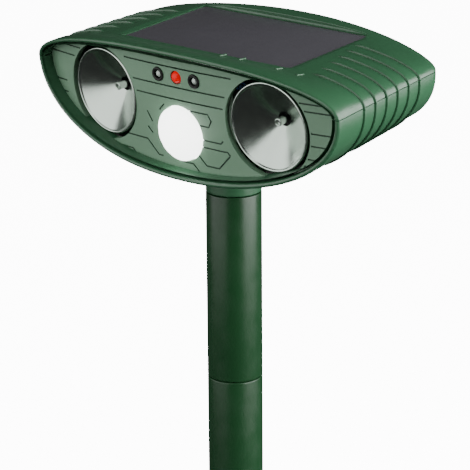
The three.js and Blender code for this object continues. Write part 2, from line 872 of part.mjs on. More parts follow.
// Solar panel and its foam pad.
const solarY = [solarFront, solarFront + solarLength];
const solarX = [-solarWidth / 2, solarWidth / 2];
const padBottom = pocketBottom + gap;
piece("solar_panel", box(solarX, solarY, [solarTop - solarThickness, solarTop]), solarGlass);
piece("solar_pad", box(solarX, solarY, [padBottom, padBottom + padThickness - gap]), rubber);

// Main board and what stands on it.
const onBoard = boardTop + gap;
const boardX = mainBoard.width / 2;
piece(
  "main_board",
  box([-boardX, boardX], [mainBoard.front, mainBoard.back], [mainBoard.bottom, boardTop]),
  boardGreen,
);
for (const [name, side] of Object.entries(sides)) {
  const coil = tube(coilRadius, coilBore, onBoard, onBoard + coilHeight, smallSides);
  piece(`${name}_drive_coil`, coil.translate(side * coilPlace.x, coilPlace.y, 0), copper);
}
piece(
  "controller_chip",
  box([-chip.half, chip.half], [chip.front, chip.back], [onBoard, onBoard + chip.thickness]),
  blackPlastic,
);
piece(
  "storage_capacitor",
  uprightRod(capacitor, capacitor.radius, onBoard, onBoard + capacitor.height),
  blackPlastic,
);

// Battery, its holder and its contacts.
const cellAlongX = (geometry) => geometry.rotateY(Math.PI / 2).translate(0, cellBack, cellHeight);

// Open tray with a hollow for the cell, kept clear of the pole's socket.
function batteryHolder() {
  const front = cellBack - holderReach;
  const back = cellBack + holderReach;
  const tray = solid(box([-holderHalf, holderHalf], [front, back], [holderBottom, cellHeight]));
  const hollowRadius = cellRadius + gap;
  const room = solid(cellAlongX(rod(hollowRadius, -cellRoom, cellRoom, roundSides)));
  const clear = rod(poleRadius + holderClearance, -socketDrop, socketTop + holderClearance, roundSides);
  return tray.subtract(room).subtract(solid(upright(clear)));
}

function cell() {
  const half = cellLength / 2;
  const shoulder = half - cellNub.length;
  return turned([
    [0, -half],
    [cellRadius, -half],
    [cellRadius, shoulder],
    [cellNub.radius, shoulder],
    [cellNub.radius, half],
    [0, half],
  ], 28);
}

piece("battery_holder", batteryHolder(), blackPlastic);
piece("battery_cell", cellAlongX(cell()), cellWrap);
const contactFront = cellLength / 2 + gap;
const contactBack = cellRoom - gap;
const positive = rod(contactRadii.positive, contactFront, contactBack);
const negative = rod(contactRadii.negative, -contactBack, -contactFront);
piece("positive_contact", cellAlongX(positive), steel);
piece("negative_contact", cellAlongX(negative), steel);
piece("battery_door", batteryDoor(), housingGreen);

// Rear controls.
piece(
  "control_board",
  box(
    [-controlBoardSize.width / 2, controlBoardSize.width / 2],
    [controlBoardY - boardThickness, controlBoardY],
    [controlBoardSize.bottom, controlBoardSize.top],
  ),
  boardGreen,
);
const controls = { sensitivity: -1, mode: 1 };
for (const [name, side] of Object.entries(controls)) {
  const x = (side * knobSpacing) / 2;
  const half = potSize / 2;
  piece(
    `${name}_potentiometer`,
    box([x - half, x + half], [controlBoardY + gap, potBack], [knobHeight - half, knobHeight + half]),
    blackPlastic,
  );
  const dial = piece(`${name}_knob`, knob(), blackPlastic);
  dial.rotation.x = -Math.PI / 2;
  dial.position.set(x, bayFloor, knobHeight);
}
piece(
  "power_switch",
  box(
    [-switchBody.half, switchBody.half],
    [controlBoardY + gap, bayFloor - bayWall - 0.6 - gap],
    [switchHeight - switchBody.halfHeight, switchHeight + switchBody.halfHeight],
  ),
  steel,
);
piece("power_slider", switchSlider(), blackPlastic);

// Socket shell with a tongue inside it.
function usbSocket() {
  const half = usbWidth / 2;
  const rise = usbThickness / 2;
  const back = controlBoardY + gap;
  const frame = box([-half, half], [back, bayFloor - 0.4], [usbHeight - rise, usbHeight + rise]);
  const innerRise = rise - usbShell + 0.1;
  const mouth = box(
    [-half + usbShell, half - usbShell],
    [back + 1.7, bayFloor + 1],
    [usbHeight - innerRise, usbHeight + innerRise],
  );
  const tongue = box([-2, 2], [back + 0.7, bayFloor - 1.4], [usbHeight - 0.3, usbHeight + 0.3]);
  return joined(solid(frame).subtract(solid(mouth)), solid(tongue));
}

// Rubber flap over the socket, with a finger lip along its top.
function usbCover() {
  const front = bayFloor + gap;
  const face = front + coverThickness;
  const top = usbHeight + 3.4;
  const flap = box([-6.4, 6.4], [front, face], [usbHeight - 3.6, top]);
  const lip = box([-2, 2], [face - 0.2, face + 1], [top - 1.2, top]);
  return joined(solid(flap), solid(lip));
}

piece("usb_socket", usbSocket(), steel);
piece("usb_cover", usbCover(), rubber);

// Screw with a cross recess, its seat at the height of its origin.
function screw(length) {
  const shank = turned([
    [0, -screwHeadHeight],
    [screwHead - 0.5, -screwHeadHeight],
    [screwHead, -screwHeadHeight + 0.6],
    [screwHead, -gap],
    [screwRadius, -gap],
    [screwRadius, length - 1],
    [0, length],
  ], smallSides);
  const recess = [-2 * screwHeadHeight, -screwHeadHeight / 2];
  const arm = box([-1.6, 1.6], [-0.35, 0.35], recess);
  const crossArm = arm.clone().rotateZ(Math.PI / 2);
  return solid(shank).subtract(joined(solid(arm), solid(crossArm)));
}

for (const { x, y, name } of postPlaces)
  piece(`${name}_housing_screw`, screw(screwLength), steel).position.set(x, y, screwSeat(y));
for (const [name, side] of Object.entries(sides)) {
  const doorScrew = piece(`${name}_door_screw`, screw(doorScrewLength), steel);
  doorScrew.position.set(side * earX, cellBack, doorScrewSeat);
}

export default model;
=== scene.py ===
"""The looks of a solar ultrasonic pest repeller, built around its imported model."""

import math

import bmesh
import bpy
import numpy as np
from mathutils import Matrix, Vector


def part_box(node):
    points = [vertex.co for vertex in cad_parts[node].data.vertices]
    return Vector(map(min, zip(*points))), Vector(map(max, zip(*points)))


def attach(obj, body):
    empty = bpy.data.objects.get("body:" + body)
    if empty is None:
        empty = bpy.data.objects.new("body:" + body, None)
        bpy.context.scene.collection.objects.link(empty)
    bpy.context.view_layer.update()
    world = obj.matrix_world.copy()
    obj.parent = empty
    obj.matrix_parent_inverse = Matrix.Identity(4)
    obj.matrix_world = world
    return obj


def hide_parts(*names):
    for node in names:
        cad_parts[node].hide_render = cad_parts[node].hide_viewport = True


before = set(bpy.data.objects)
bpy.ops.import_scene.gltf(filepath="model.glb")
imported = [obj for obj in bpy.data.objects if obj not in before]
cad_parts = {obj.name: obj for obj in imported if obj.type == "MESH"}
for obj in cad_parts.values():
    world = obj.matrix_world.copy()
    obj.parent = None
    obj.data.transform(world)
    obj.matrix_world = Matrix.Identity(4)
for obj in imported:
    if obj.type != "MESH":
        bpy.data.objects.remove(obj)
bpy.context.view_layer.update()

# ------------------------------------------------------------------ sizes, in millimetres
MM = 0.001
SIDES = {"left": -1, "right": 1}
GAP = 0.3

# The head's own frame has its origin on the pole's axis and leans nose-down.
HEAD_HEIGHT = 203.0
HEAD_PITCH = math.radians(5.3)
HEAD_HALF = (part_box("lower_housing")[1].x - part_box("lower_housing")[0].x) / MM / 2
HEAD_DEPTH = 81.4
RIM_FRONT = 36.1
SEAM_HEIGHT = 10.7
BROW_HEIGHT = 16.0
CROWN_HEIGHT = 10.8
BELLY_HEIGHT = 37.1
BROW_LENGTH = 22.0
RIM_BOW = 6.6
REAR_BOW = 11.8
REAR_RADIUS = 4.5
SIDE_TAPER = 0.033
FLOOR_RISE = 0.043
SEAM_RISE = 0.013
BROW_POWER = 2.26
CROWN_POWER = 4.2
REAR_CROWN_POWER = 2.0
BELLY_POWER = 2.16
FACE_LEAN = math.radians(1.5)
RIM_WALL = 2.0
BODY_WALL = 3.2

# Grooves that run over the sides of the head.
GROOVE_PLACES = -14.3 + 7.0 * np.arange(6)
GROOVE_STARTS = 54.7 - 1.8 * np.arange(6)
GROOVE_WIDTH = 0.95
GROOVE_DEPTH = 0.75

# Front panel, horns, lens and lamps.
PANEL_RECESS = 5.2
PANEL_THICKNESS = 2.5
HORN_OFFSET = 43.5
HORN_HEIGHT = 1.0
HORN_RADIUS = 18.1
HORN_CLEARANCE = 1.6
HORN_SINK = 1.6
PANEL_EDGE_GAP = 0.08
HORN_TOE = math.radians(4.5)
LENS_HEIGHT = -8.2
LENS_RADIUS = 11.0
LENS_PROUD = 1.5
LENS_RISE = 5.0
LAMP_HEIGHT = 14.6
LAMP_PITCH = 9.5
BUSH_RADIUS = 2.85
RED_RADIUS = 2.5

# Engraved lines on the front panel. Side lines run from a horn's ring to the panel's edge, each
# given by its height and how far it stays clear of the ring.
LINE_WIDTH = 0.62
LINE_DEPTH = 0.5
EDGE_MARGIN = 1.0
SIDE_LINES = {"left": [(17.0, 0.5), (13.0, 1.0), (1.0, 4.5), (-4.0, 5.0)],
              "right": [(13.5, 0.5), (10.5, 0.5), (2.0, 0.5), (-3.0, 0.5), (-8.5, 0.5), (-11.5, 0.5)]}
# Middle lines run level from horn to horn, each given by its height and half-length.
MIDDLE_LINES = [(18.5, 28.5), (10.5, 24.5), (5.5, 23.0)]
# Traces start at a place and go on in straight legs of a heading in degrees and a length.
TRACES = [
    ((-39.0, 21.5), [(0, 16.0)]),
    ((-52.5, 20.0), [(-45, 1.5)]),
    ((-10.0, 23.0), [(-45, 1.8), (0, 17.5), (45, 1.8)]),
    ((5.0, 2.0), [(0, 10.0), (-60, 3.0), (-120, 3.0), (180, 4.5)]),
    ((-8.0, 2.5), [(-135, 4.0)]),
    ((-18.0, -2.0), [(-60, 4.8)]),
    ((-18.5, -8.5), [(-45, 3.5)]),
    ((-32.0, -14.0), [(0, 12.5), (-45, 8.0), (0, 2.5)]),
    ((-43.5, -20.0), [(0, 14.5), (-45, 7.0)]),
    ((-0.5, -20.0), [(0, 5.5), (-45, 8.0)]),
    ((8.5, -16.0), [(-45, 5.0), (0, 6.5), (45, 8.5)]),
    ((11.0, -9.0), [(0, 9.5), (45, 1.8)]),
    ((10.5, -12.0), [(0, 13.0), (-45, 1.8)]),
]

# Solar panel and its bay.
SOLAR_HALF = 43.6
SOLAR_FRONT = -15.6
SOLAR_LENGTH = 48.2
SOLAR_TOP = 20.5
SOLAR_THICKNESS = 2.2

# Small ribs on the brow, right of the middle: places across and along the head.
BROW_RIBS = [(13.0, -17.6), (23.0, -17.6), (43.2, -19.3), (53.6, -19.4)]
BROW_RIB_LENGTH = 4.4

# Housing screws, battery door and control bay.
POST_SIDE = 65.5
POST_FRONT = -6.0
POST_REAR = 25.0
SCREW_HEAD = 2.6
SCREW_GRIP = 3.6
SCREW_LENGTH = 12.0
CELL_BACK = 22.0
DOOR_LENGTH = 17.0
DOOR_EAR_RADIUS = 4.4
DOOR_EAR_X = 40.9
DOOR_TOP = -14.1
DOOR_SCREW_SEAT = -16.39
DOOR_SCREW_LENGTH = 5.5
BAY_HALF = 24.0
BAY_BOTTOM = -14.0
BAY_TOP = 3.0
BAY_FLOOR = 41.2
BAY_WALL = 2.4
KNOB_PITCH = 16.5
KNOB_HEIGHT = -5.5
SWITCH_HEIGHT = -0.8
USB_HEIGHT = -9.5

# Stake.
POLE_RADIUS = 11.35
SOCKET_DROP = 40.5


# ------------------------------------------------------------------ mesh making
def head_matrix():
    """Head frame in millimetres to the model's frame in metres."""
    lean = Matrix.Rotation(HEAD_PITCH, 4, "X")
    return Matrix.Translation((0, 0, HEAD_HEIGHT * MM)) @ lean @ Matrix.Scale(MM, 4)


HEAD = head_matrix()
MODEL = Matrix.Scale(MM, 4)
UPRIGHT = Matrix(((1, 0, 0, 0), (0, 0, 1, 0), (0, -1, 0, 0), (0, 0, 0, 1)))


def placed(points, place):
    """Points in millimetres, of any array shape, carried by a matrix into the model's frame."""
    turn = np.array(place, float)
    return points @ turn[:3, :3].T + turn[:3, 3]


def grid_faces(rows, columns, closed=False, start=0):
    """Quads over a grid of points in row order. A closed grid joins its last column to its first."""
    row, column = np.meshgrid(np.arange(rows - 1), np.arange(columns - (not closed)), indexing="ij")
    following = (column + 1) % columns
    corners = [row * columns + column, row * columns + following]
    corners += [(row + 1) * columns + following, (row + 1) * columns + column]
    return np.stack(corners, -1).reshape(-1, 4) + start


def make_piece(name, points, faces, finish, body="head", stands_for=(), slot=None, sharp=35.0):
    """A piece from points in metres and quads or polygons. Doubles are merged and edges sharper
    than an angle stay crisp."""
    mesh = bpy.data.meshes.new(name)
    mesh.from_pydata(np.asarray(points).reshape(-1, 3).tolist(), [], [list(map(int, f)) for f in faces])
    shape = bmesh.new()
    shape.from_mesh(mesh)
    bmesh.ops.remove_doubles(shape, verts=shape.verts, dist=2e-6)
    bmesh.ops.dissolve_degenerate(shape, edges=shape.edges, dist=1e-7)
    bmesh.ops.recalc_face_normals(shape, faces=shape.faces)
    shape.to_mesh(mesh)
    shape.free()
    finish_mesh(mesh, sharp)
    piece = bpy.data.objects.new(name, mesh)
    bpy.context.scene.collection.objects.link(piece)
    finishes = finish if isinstance(finish, (list, tuple)) else [finish]
    for each in finishes:
        mesh.materials.append(each)
    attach(piece, body)
    if stands_for:
        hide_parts(*stands_for)
    return piece


def finish_mesh(mesh, sharp):
    """Smooth shading with edges sharper than an angle in degrees kept crisp."""
    mesh.polygons.foreach_set("use_smooth", np.ones(len(mesh.polygons), bool))
    mesh.set_sharp_from_angle(angle=math.radians(sharp))


def joined_shapes(*shapes):
    """Several (points, faces) shapes as one."""
    points, faces, start = [], [], 0
    for shape_points, shape_faces in shapes:
        flat = np.asarray(shape_points).reshape(-1, 3)
        points.append(flat)
        faces += [np.asarray(face) + start for face in shape_faces]
        start += len(flat)
    return np.concatenate(points), faces


def cut(piece, points, faces, finish=None, operation="DIFFERENCE"):
    """Takes a closed shape out of a piece, or keeps what lies inside it. The new walls take their
    own finish where one is given."""
    cutter_mesh = bpy.data.meshes.new("cutter")
    corners = np.asarray(points).reshape(-1, 3).tolist()
    cutter_mesh.from_pydata(corners, [], [list(map(int, f)) for f in faces])
    shape = bmesh.new()
    shape.from_mesh(cutter_mesh)
    bmesh.ops.remove_doubles(shape, verts=shape.verts, dist=1e-6)
    bmesh.ops.recalc_face_normals(shape, faces=shape.faces)
    shape.to_mesh(cutter_mesh)
    shape.free()
    if finish:
        cutter_mesh.materials.append(finish)
    cutter = bpy.data.objects.new("cutter", cutter_mesh)
    bpy.context.scene.collection.objects.link(cutter)
    modifier = piece.modifiers.new("cut", "BOOLEAN")
    modifier.object = cutter
    modifier.operation = operation
    modifier.solver = "EXACT"
    modifier.material_mode = "TRANSFER" if finish else "INDEX"
    bpy.context.view_layer.update()
    evaluated = piece.evaluated_get(bpy.context.evaluated_depsgraph_get())
    result = bpy.data.meshes.new_from_object(evaluated)
    piece.modifiers.remove(modifier)
    old = piece.data
    piece.data = result
    bpy.data.meshes.remove(old)
    bpy.data.objects.remove(cutter)
    bpy.data.meshes.remove(cutter_mesh)


def arc(centre, radius, start, end, steps):
    """Points on an arc in a profile's plane, between two angles in degrees."""
    angle = np.radians(np.linspace(start, end, steps))
    return np.stack([centre[0] + radius * np.cos(angle), centre[1] + radius * np.sin(angle)], -1)


def rounded(corners, radius, steps=5):
    """An open line through corners with each inner corner rounded by a tangent curve."""
    corners = np.asarray(corners, float)
    line = [corners[:1]]
    for before, corner, after in zip(corners[:-2], corners[1:-1], corners[2:]):
        reach = min(radius, np.linalg.norm(corner - before) / 2, np.linalg.norm(after - corner) / 2)
        start = corner + (before - corner) / max(np.linalg.norm(before - corner), 1e-9) * reach
        end = corner + (after - corner) / max(np.linalg.norm(after - corner), 1e-9) * reach
        t = np.linspace(0, 1, steps)[:, None]
        line.append((1 - t) ** 2 * start + 2 * t * (1 - t) * corner + t**2 * end)
    line.append(corners[-1:])
    return np.concatenate(line)


def turned(profile, place, steps=96):
    """A profile of (radius, height) points turned about Z: x = r cos a, y = r sin a, z = h."""
    profile = np.asarray(profile, float)
    angle = np.linspace(0, 2 * np.pi, steps, endpoint=False)
    radius, height = profile[:, :1], profile[:, 1:]
    rings = np.stack([radius * np.cos(angle), radius * np.sin(angle), height + 0 * angle], -1)
    return placed(rings, place), grid_faces(len(profile), steps, closed=True)


def slab(outline, profile, place):
    """A closed outline carried up a profile of (inset, height) points, with flat ends."""
    outline = np.asarray(outline, float)
    ahead = np.roll(outline, -1, 0) - np.roll(outline, 1, 0)
    inward = np.stack([-ahead[:, 1], ahead[:, 0]], -1) / np.linalg.norm(ahead, axis=1)[:, None]
    profile = np.asarray(profile, float)
    flat = outline[None] + inward[None] * profile[:, 0][:, None, None]
    height = np.broadcast_to(profile[:, 1][:, None, None], flat.shape[:2] + (1,))
    points = np.concatenate([flat, height], -1)
    rows, sides = flat.shape[:2]
    faces = [list(face) for face in grid_faces(rows, sides, closed=True)]
    faces += [list(range(sides))[::-1], list(range((rows - 1) * sides, rows * sides))]
    return placed(points, place), faces


def rounded_rectangle(x0, x1, y0, y1, radius, steps=6):
    """A closed outline, anticlockwise, with round corners."""
    middles = [(x1 - radius, y0 + radius, -90), (x1 - radius, y1 - radius, 0)]
    middles += [(x0 + radius, y1 - radius, 90), (x0 + radius, y0 + radius, 180)]
    return np.concatenate([arc((x, y), radius, turn, turn + 90, steps) for x, y, turn in middles])


def soft_block(x, y, z, radius, place, corner=None):
    """A block between two heights with round upright corners and soft top and bottom edges."""
    corner = corner or radius
    low, high = z
    turn = np.linspace(0, np.pi / 2, 4)
    up = [(radius * (1 - math.sin(a)), low + radius * (1 - math.cos(a))) for a in turn]
    down = [(radius * (1 - math.cos(a)), high - radius * (1 - math.sin(a))) for a in turn]
    return slab(rounded_rectangle(*x, *y, corner), up + down, place)


# ------------------------------------------------------------------ the head's form
def smooth(t):
    t = np.clip(t, 0, 1)
    return t * t * (3 - 2 * t)


def rim_y(x, z):
    """Front surface of the rim: bowed back to the sides and leaning a little down."""
    return -RIM_FRONT + RIM_BOW * (x / HEAD_HALF) ** 2 - z * math.tan(FACE_LEAN)


def rear_y(x):
    return HEAD_DEPTH - RIM_FRONT - REAR_BOW * (x / HEAD_HALF) ** 2


def outline_sizes(depth, inset):
    """Half-width, seam height, top height, top power and bottom height of the head's outline."""
    brow = smooth(depth / BROW_LENGTH)
    rear = np.clip(depth - BROW_LENGTH, 0, None) / (HEAD_DEPTH - BROW_LENGTH)
    flat_power = CROWN_POWER + (REAR_CROWN_POWER - CROWN_POWER) * rear
    power = BROW_POWER + (flat_power - BROW_POWER) * brow
    top = BROW_HEIGHT + (CROWN_HEIGHT - BROW_HEIGHT) * brow - inset
    half = HEAD_HALF - SIDE_TAPER * depth - inset
    bottom = BELLY_HEIGHT - FLOOR_RISE * depth - inset
    return half, SEAM_HEIGHT + SEAM_RISE * depth, top, power, bottom


def outline_point(depth, inset, angle):
    """Superellipse |x/a|^p + (z/b)^2 = 1 above the seam and |x/a|^q + |z/c|^q = 1 below it."""
    half, seam, top, power, bottom = outline_sizes(depth, inset)
    across, up = np.cos(angle), np.sin(angle)
    upper = up >= 0
    x = np.sign(across) * half * np.abs(across) ** (2 / np.where(upper, power, BELLY_POWER))
    z = seam + np.where(upper, top * up, -bottom * np.abs(up) ** (2 / BELLY_POWER))
    return x, z


# Stations along the head, given as y on its middle line.
REAR_END = HEAD_DEPTH - RIM_FRONT - REAR_RADIUS
BAY_SIDE = 48.0
BAY_END = 33.3


def rear_end(x):
    return rear_y(x) - REAR_RADIUS


def station_y(station, x, z):
    """Where a station lies away from the middle: it follows the rim's bow in front, runs straight
    across between y = -18 and 22, and follows the rear wall's bow behind."""
    rim = rim_y(x, z)
    front = rim + (station + RIM_FRONT) / (RIM_FRONT - 18.0) * (-18.0 - rim)
    bay_end = BAY_END - np.clip(rear_end(BAY_SIDE) - rear_end(x), 0, None)
    behind = 22.0 + (bay_end - 22.0) * (station - 22.0) / (BAY_END - 22.0)
    last = bay_end + (rear_end(x) - bay_end) * (station - BAY_END) / (REAR_END - BAY_END)
    y = np.where(station < -18.0, front, station)
    y = np.where(station > 22.0, behind, y)
    return np.where(station > BAY_END, last, y)


def head_surface(station, angle, inset):
    """The head's outer form drawn in by an inset, at stations from rim to rear edge. The outline
    at a point is the one at its share of the way from rim to rear edge."""
    depth = (station + RIM_FRONT) / (REAR_END + RIM_FRONT) * HEAD_DEPTH + 0 * angle
    for _ in range(8):
        x, z = outline_point(np.clip(depth, 0, HEAD_DEPTH), inset, angle)
        y = station_y(station, x, z)
        rim = rim_y(x, z)
        depth = (y - rim) / (rear_end(x) - rim) * HEAD_DEPTH
    return np.stack([x, y, z], -1)


def rear_surface(turn, share, angle, inset):
    """The rounded rear edge, turned from 0 to 90 degrees, and the rear wall drawn in to its middle."""
    radius = max(REAR_RADIUS - inset, 1.0)
    x, z = outline_point(HEAD_DEPTH + 0 * angle, inset + radius * (1 - np.cos(turn)), angle)
    seam = SEAM_HEIGHT + SEAM_RISE * HEAD_DEPTH
    x, z = x * share, seam + (z - seam) * share
    return np.stack([x, rear_y(x) - inset - radius * (1 - np.sin(turn)), z], -1)


def normals_of(points):
    """Unit normals of a grid of points, outwards for rows that run from rear to front."""
    along, across = np.gradient(points, axis=0), np.gradient(points, axis=1)
    normal = np.cross(along, across)
    return normal / np.maximum(np.linalg.norm(normal, axis=-1, keepdims=True), 1e-9)


def groove_depth(points):
    """Round-bottomed grooves at set depths, fading in away from the middle."""
    x, y = np.abs(points[..., 0]), points[..., 1]
    depth = np.zeros_like(x)
    for place, start in zip(GROOVE_PLACES, GROOVE_STARTS):
        across = np.clip(1 - (2 * (y - place) / GROOVE_WIDTH) ** 2, 0, None)
        depth += GROOVE_DEPTH * np.sqrt(across) * smooth((x - start) / 5.0)
    return depth


def head_stations():
    """Stations close together at the rim, the grooves and the solar bay, and apart between them."""
    half = GROOVE_WIDTH / 2
    steps = np.array([-1.9, -1.15, -1.0, -0.93, -0.75, -0.4, 0.0, 0.4, 0.75, 0.93, 1.0, 1.15, 1.9]) * half
    grooves = (GROOVE_PLACES[:, None] + steps).ravel()
    front = -RIM_FRONT + np.array([0.9, 1.6, 3, 4.5, 6, 7.5, 9, 10.5, 12, 13.5, 15, 16.5, 18.1, 19.5])
    between = (GROOVE_PLACES[:-1, None] + np.array([2.3, 3.5, 4.7])).ravel()
    behind = np.array([23, 25, 27, 29, 31, BAY_END, 34.5, 36, REAR_END])
    return np.unique(np.round(np.concatenate([front, grooves, between, behind]), 3))


def shell_rows(angle_of, inset):
    """Rows of the shell from the middle of the rear wall to just behind the rim."""
    rows = []
    for share in (0.0, 0.25, 0.5, 0.75, 0.9):
        rows.append(rear_surface(np.pi / 2, share, angle_of(REAR_END), inset))
    for turn in np.linspace(np.pi / 2, 0, 9)[:-1]:
        rows.append(rear_surface(turn, 1.0, angle_of(REAR_END), inset))
    for station in head_stations()[::-1]:
        rows.append(head_surface(station, angle_of(station), inset))
    return np.array(rows)


def rim_rows(angle_of):
    """The rim's rounded front edge, from the outer surface round to the wall inside it."""
    rows = []
    lip = RIM_WALL / 2
    for turn in np.linspace(0, np.pi, 11):
        inset = lip * (1 - math.cos(turn))
        out = 0.9 * (1 - math.sin(turn))
        row = head_surface(-RIM_FRONT, angle_of(-RIM_FRONT), inset)
        row[:, 1] += out
        rows.append(row)
    return np.array(rows)


def shell_half(upper, columns):
    """One shell of the head: outer surface with its grooves, rim, inner surface and the seam's
    edges between them, as a closed body."""
    low, high = (0.0, np.pi) if upper else (np.pi, 2 * np.pi)
    spread = np.linspace(0, 1, columns)
    angle = low + (high - low) * spread
    angle_of = lambda station: angle
    outer = shell_rows(angle_of, 0.0)
    outer = outer - normals_of(outer) * groove_depth(outer)[..., None]
    inner = shell_rows(angle_of, BODY_WALL)
    rim = rim_rows(angle_of)
    pocket = np.array([head_surface(s, angle, RIM_WALL) for s in -RIM_FRONT + np.array([2, 6, 10.5])])
    loop = np.concatenate([outer, rim, pocket, inner[::-1]])
    side = 1 if upper else -1
    lift = side * GAP / 2 * np.exp(-((np.sin(angle)) / 0.02) ** 2)
    loop[..., 2] += lift
    rows = len(loop)
    faces = [list(face) for face in grid_faces(rows, columns)]
    for column in (0, columns - 1):
        for i in range(len(outer) - 1):
            j = rows - 1 - i
            faces.append([i * columns + column, (i + 1) * columns + column,
                          (j - 1) * columns + column, j * columns + column])
        faces.append([i * columns + column for i in range(len(outer) - 1, rows - len(inner) + 1)])
    return placed(loop, HEAD), faces


# ------------------------------------------------------------------ finishes
def shader(name, color, roughness, metallic=0.0):
    finish = bpy.data.materials.new(name)
    finish.use_nodes = True
    base = finish.node_tree.nodes["Principled BSDF"]
    base.inputs["Base Color"].default_value = (*color, 1)
    base.inputs["Roughness"].default_value = roughness
    base.inputs["Metallic"].default_value = metallic
    return finish, finish.node_tree.nodes, finish.node_tree.links, base


def noise(nodes, links, scale, detail=3.0, rough=0.5, stretch=(1, 1, 1)):
    """Noise over the object's own coordinates, in metres; scale is in features a metre."""
    place = nodes.new("ShaderNodeTexCoord")
    mapping = nodes.new("ShaderNodeMapping")
    mapping.inputs["Scale"].default_value = stretch
    texture = nodes.new("ShaderNodeTexNoise")
    texture.inputs["Scale"].default_value = scale
    texture.inputs["Detail"].default_value = detail
    texture.inputs["Roughness"].default_value = rough
    links.new(place.outputs["Object"], mapping.inputs["Vector"])
    links.new(mapping.outputs["Vector"], texture.inputs["Vector"])
    return texture.outputs["Fac"]


def spread(nodes, links, value, low, high):
    """A 0 to 1 value carried to a range."""
    step = nodes.new("ShaderNodeMapRange")
    step.inputs["From Min"].default_value = 0.3
    step.inputs["From Max"].default_value = 0.7
    step.inputs["To Min"].default_value = low
    step.inputs["To Max"].default_value = high
    links.new(value, step.inputs["Value"])
    return step.outputs["Result"]


def moulded(name, color, roughness, vary=0.12, grain=0.12, grain_size=3500.0, coat=0.0,
            shine=0.5):
    """Moulded plastic: broad colour drift, uneven gloss and a fine moulded grain."""
    finish, nodes, links, base = shader(name, color, roughness)
    mix = nodes.new("ShaderNodeMix")
    mix.data_type = "RGBA"
    mix.inputs["A"].default_value = (*[c * (1 - vary) for c in color], 1)
    mix.inputs["B"].default_value = (*[min(c * (1 + vary), 1) for c in color], 1)
    links.new(noise(nodes, links, 45.0, 4.0), mix.inputs["Factor"])
    links.new(mix.outputs["Result"], base.inputs["Base Color"])
    cloud = noise(nodes, links, 160.0, 3.0)
    links.new(spread(nodes, links, cloud, roughness - 0.05, roughness + 0.06), base.inputs["Roughness"])
    bump = nodes.new("ShaderNodeBump")
    bump.inputs["Strength"].default_value = grain
    bump.inputs["Distance"].default_value = 0.0001
    links.new(noise(nodes, links, grain_size, 2.0), bump.inputs["Height"])
    links.new(bump.outputs["Normal"], base.inputs["Normal"])
    base.inputs["Specular IOR Level"].default_value = shine
    base.inputs["Coat Weight"].default_value = coat
    base.inputs["Coat Roughness"].default_value = 0.12
    return finish


def polished(name, color, roughness, lines=0.0):
    """Bright metal with faint drawing marks."""
    finish, nodes, links, base = shader(name, color, roughness, 1.0)
    cloud = noise(nodes, links, 300.0, 4.0)
    links.new(spread(nodes, links, cloud, roughness * 0.92, roughness * 1.1), base.inputs["Roughness"])
    bump = nodes.new("ShaderNodeBump")
    bump.inputs["Strength"].default_value = 0.015 + lines
    bump.inputs["Distance"].default_value = 0.00005
    links.new(noise(nodes, links, 1200.0, 2.0), bump.inputs["Height"])
    links.new(bump.outputs["Normal"], base.inputs["Normal"])
    return finish


def glowing(finish, color, strength):
    base = finish.node_tree.nodes["Principled BSDF"]
    base.inputs["Emission Color"].default_value = (*color, 1)
    base.inputs["Emission Strength"].default_value = strength
    return finish


HOUSING = moulded("housing_green", (0.026, 0.09, 0.042), 0.34, grain=0.15)
PANEL = moulded("panel_grey_green", (0.115, 0.215, 0.135), 0.45, grain=0.2)
# Painted shade: the engraved lines' walls take this near-black green so the grooves read dark, standing in
# for the shade inside them.
LINE_PAINTED_SHADE = moulded("engraved_line", (0.012, 0.04, 0.02), 0.6)
POLE = moulded("stake_green", (0.007, 0.036, 0.012), 0.33, grain=0.05, shine=0.35)
BLACK = moulded("black_plastic", (0.005, 0.006, 0.005), 0.45, shine=0.25)
RUBBER = moulded("black_rubber", (0.012, 0.012, 0.012), 0.75, grain=0.3)
BELL = polished("bell_silver", (0.4, 0.46, 0.41), 0.24)
PLATED = polished("plated_steel", (0.6, 0.6, 0.58), 0.28)
COPPER = polished("copper_winding", (0.7, 0.32, 0.14), 0.3, lines=0.2)
# Painted glow: the motion lens is no lamp, yet it emits light here so that it reads as glaring white.
LENS = glowing(moulded("lens_white_painted_glow", (0.92, 0.95, 0.92), 0.3, vary=0.02), (0.97, 1.0, 0.97), 4.5)
LAMP_CLEAR = moulded("lamp_clear", (0.5, 0.58, 0.52), 0.12, vary=0.05)
LAMP_RED = glowing(moulded("lamp_red", (0.62, 0.0, 0.0), 0.3, shine=0.2), (1.0, 0.0, 0.0), 0.3)
SOLAR = moulded("solar_cells", (0.062, 0.06, 0.07), 0.4, vary=0.06, grain=0.03, coat=0.1)
BOARD = moulded("circuit_board", (0.02, 0.12, 0.04), 0.35)
WRAP = moulded("cell_wrap", (0.05, 0.18, 0.45), 0.3)


# ------------------------------------------------------------------ camera and studio
WORLD_LIGHT = 0.045
FLOOR_GLOW = 12.0
LEFT_LIGHT = 11.5
RIGHT_LIGHT = 31.0
HIGH_LIGHT = 2.6


def camera():
    """Long lens, right of the front and above it."""
    swing, fall, roll = math.radians(42.6), math.radians(17.96), math.radians(-0.45)
    right = Vector((math.cos(swing), math.sin(swing), 0))
    look = Vector((-math.sin(swing) * math.cos(fall), math.cos(swing) * math.cos(fall), -math.sin(fall)))
    up = right.cross(look)
    level = right * math.cos(roll) + up * math.sin(roll)
    upright = up * math.cos(roll) - right * math.sin(roll)
    eye = bpy.data.objects.new("camera", bpy.data.cameras.new("camera"))
    bpy.context.scene.collection.objects.link(eye)
    target = Vector((0.55, -0.07, HEAD_HEIGHT - 59.7)) * MM
    basis = Matrix((level, upright, -look)).transposed().to_4x4()
    eye.matrix_world = Matrix.Translation(target - look * 0.8842) @ basis
    eye.data.lens = 167.4
    eye.data.sensor_width = 36.0
    eye.data.clip_start = 0.01
    bpy.context.scene.camera = eye


